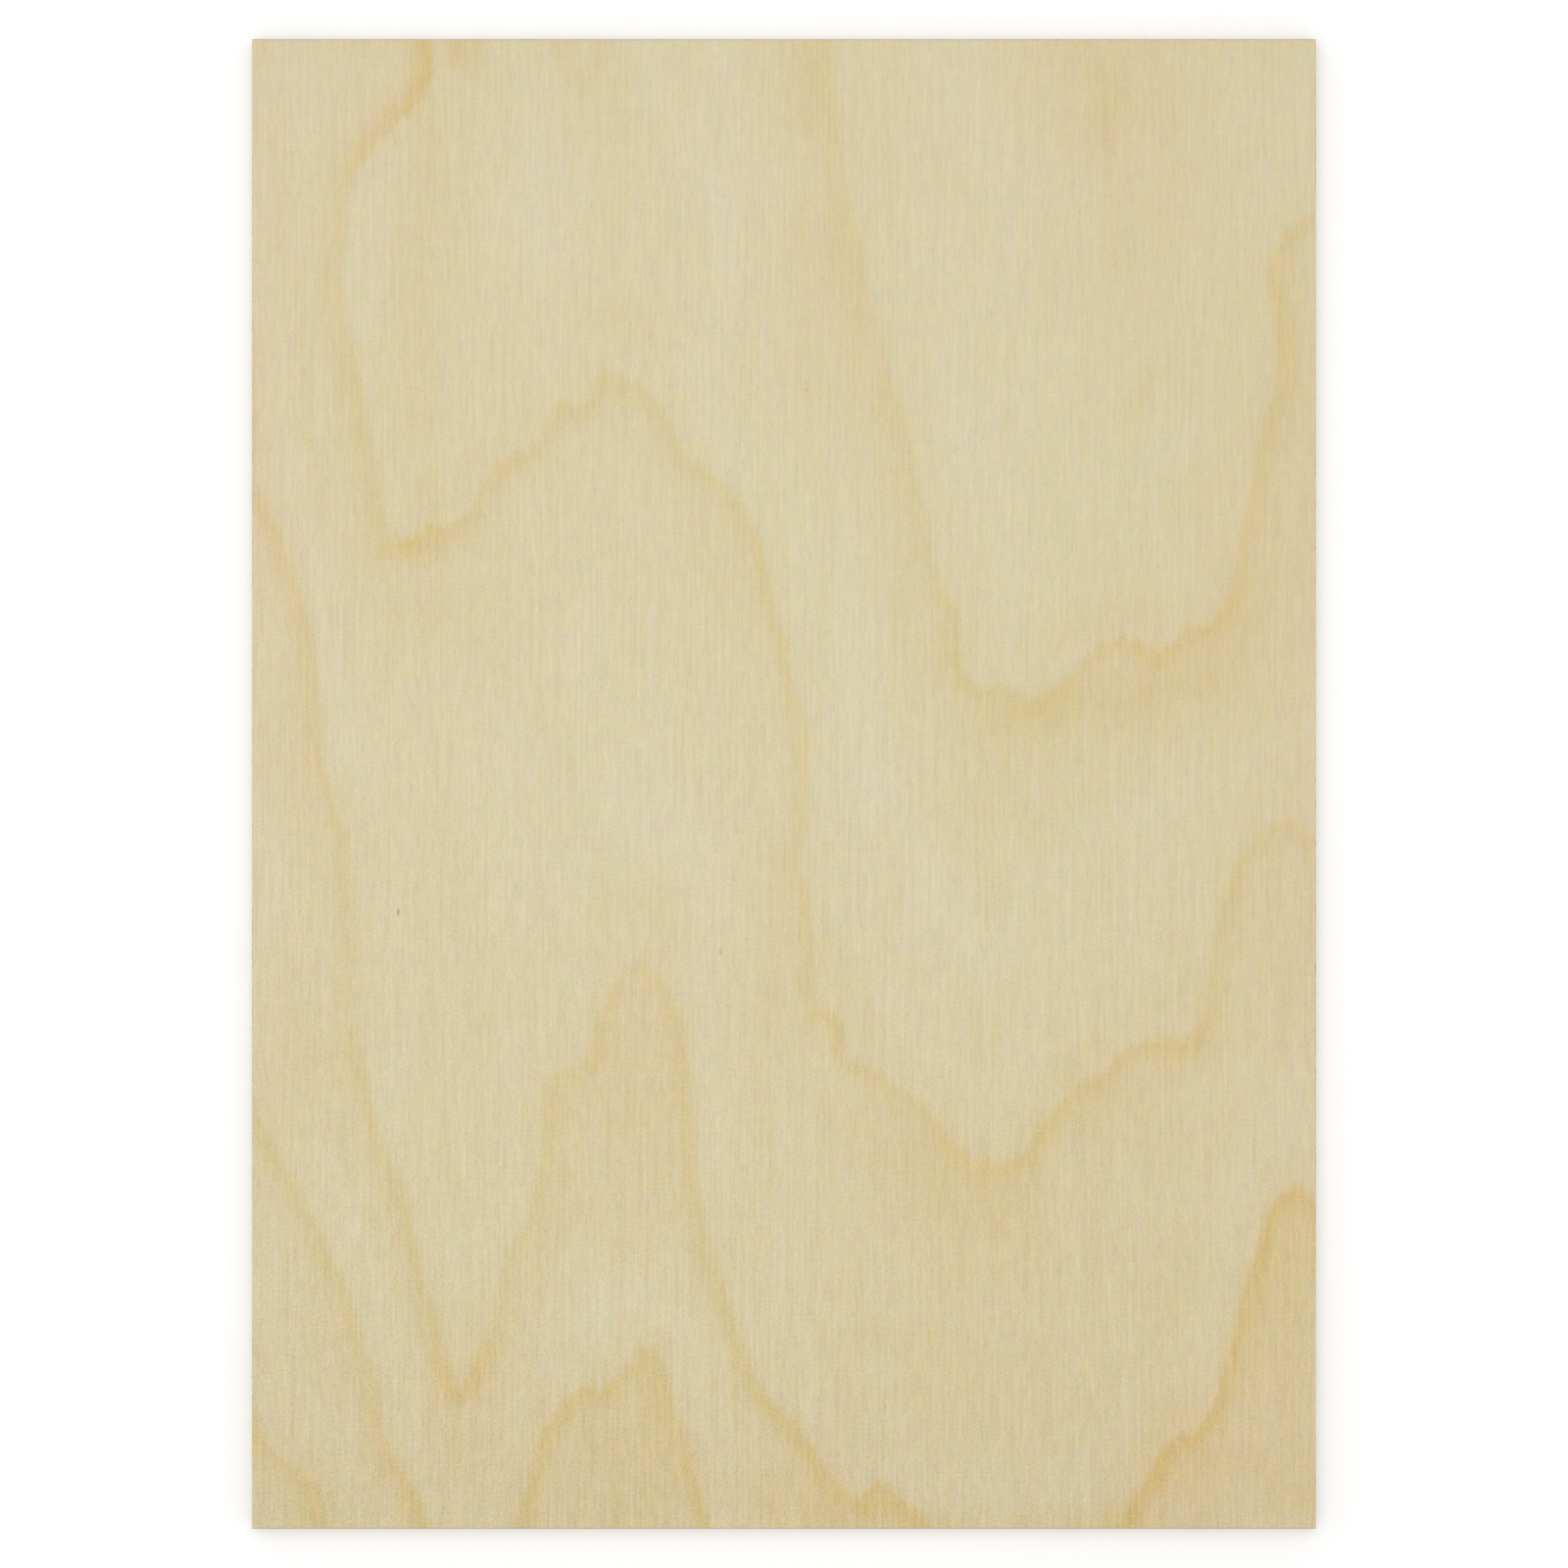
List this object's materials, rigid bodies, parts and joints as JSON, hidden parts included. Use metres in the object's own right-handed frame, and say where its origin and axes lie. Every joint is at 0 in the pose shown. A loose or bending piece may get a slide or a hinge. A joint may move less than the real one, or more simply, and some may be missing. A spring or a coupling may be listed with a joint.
{
  "type": "birch board",
  "caption": "Flat rectangular birch-faced plywood board, sawn square on all sides, with the grain of its rotary-cut face running lengthwise.",
  "frame": {"origin": "middle of the underside of the board", "axes": "+Y along the face grain, which is the board's length; +X across the grain, to the right when the face is looked down on with +Y up; +Z up out of the face"},
  "size_m": [0.5, 0.7, 0.012],
  "materials": {
    "birch": "sanded, uncoated"
  },
  "bodies": {
    "root": {"board": "birch"}
  },
  "joints": []
}
